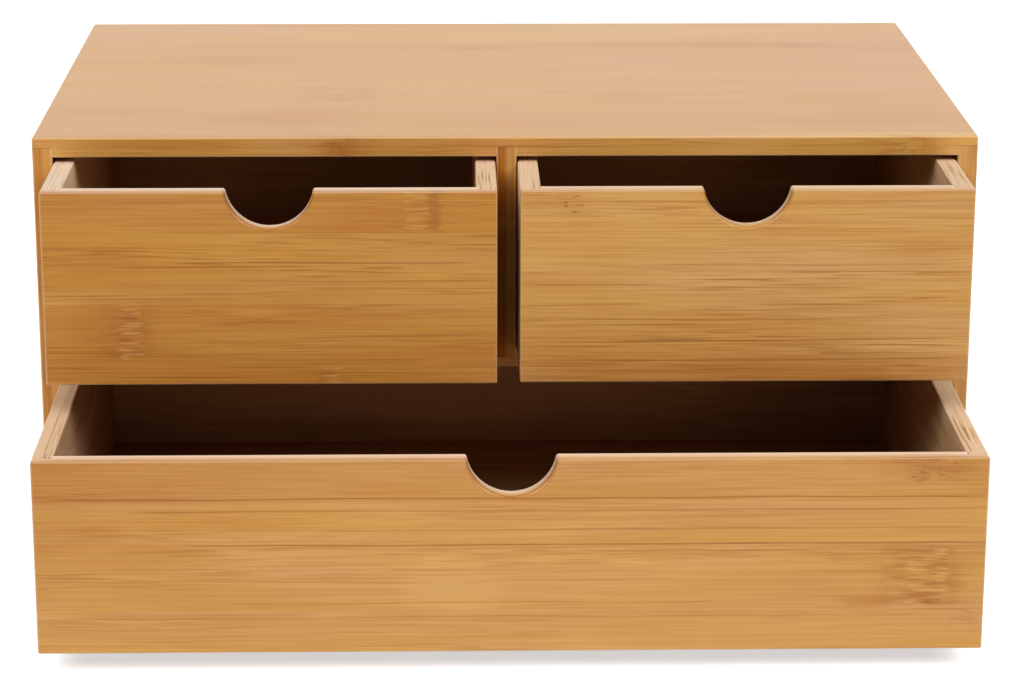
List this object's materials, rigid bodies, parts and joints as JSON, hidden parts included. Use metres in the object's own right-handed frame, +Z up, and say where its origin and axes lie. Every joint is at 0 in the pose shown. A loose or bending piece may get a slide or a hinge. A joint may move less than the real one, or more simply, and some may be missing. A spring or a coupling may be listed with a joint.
{
  "type": "desktop mini drawers",
  "caption": "Low bamboo desktop chest with inset drawers, narrow ones side by side above a full-width one, each opened by a round finger notch, for craft supplies and parts.",
  "frame": {"origin": "centre of the chest's footprint, without its opened drawers, on the surface that it stands on", "axes": "+Z up, -Y towards the user (drawer fronts), +X to the user's right along the width"},
  "size_m": [0.33, 0.3005, 0.162],
  "materials": {
    "bamboo_chest": "laminated bamboo, clear satin lacquer",
    "bamboo_drawer": "laminated bamboo, clear satin lacquer",
    "bamboo_thin_panel": "thin bamboo plywood, clear satin lacquer"
  },
  "bodies": {
    "carcass": {"top_panel": "bamboo_chest", "bottom_panel": "bamboo_chest", "left_side_panel": "bamboo_chest", "right_side_panel": "bamboo_chest", "shelf_panel": "bamboo_chest", "divider_panel": "bamboo_chest", "back_panel": "bamboo_thin_panel"},
    "upper_left_drawer": {"upper_left_drawer_front": "bamboo_drawer", "upper_left_drawer_back": "bamboo_drawer", "upper_left_drawer_left_side": "bamboo_drawer", "upper_left_drawer_right_side": "bamboo_drawer", "upper_left_drawer_bottom": "bamboo_thin_panel"},
    "upper_right_drawer": {"upper_right_drawer_front": "bamboo_drawer", "upper_right_drawer_back": "bamboo_drawer", "upper_right_drawer_left_side": "bamboo_drawer", "upper_right_drawer_right_side": "bamboo_drawer", "upper_right_drawer_bottom": "bamboo_thin_panel"},
    "lower_drawer": {"lower_drawer_front": "bamboo_drawer", "lower_drawer_back": "bamboo_drawer", "lower_drawer_left_side": "bamboo_drawer", "lower_drawer_right_side": "bamboo_drawer", "lower_drawer_bottom": "bamboo_thin_panel"}
  },
  "joints": [
    {"name": "upper_left_drawer_slide", "type": "slide", "parent": "carcass", "child": "upper_left_drawer", "axis": [0, -1, 0], "range_m": [-0.0435, 0.1165]},
    {"name": "upper_right_drawer_slide", "type": "slide", "parent": "carcass", "child": "upper_right_drawer", "axis": [0, -1, 0], "range_m": [-0.0425, 0.1175]},
    {"name": "lower_drawer_slide", "type": "slide", "parent": "carcass", "child": "lower_drawer", "axis": [0, -1, 0], "range_m": [-0.0925, 0.0675]}
  ]
}
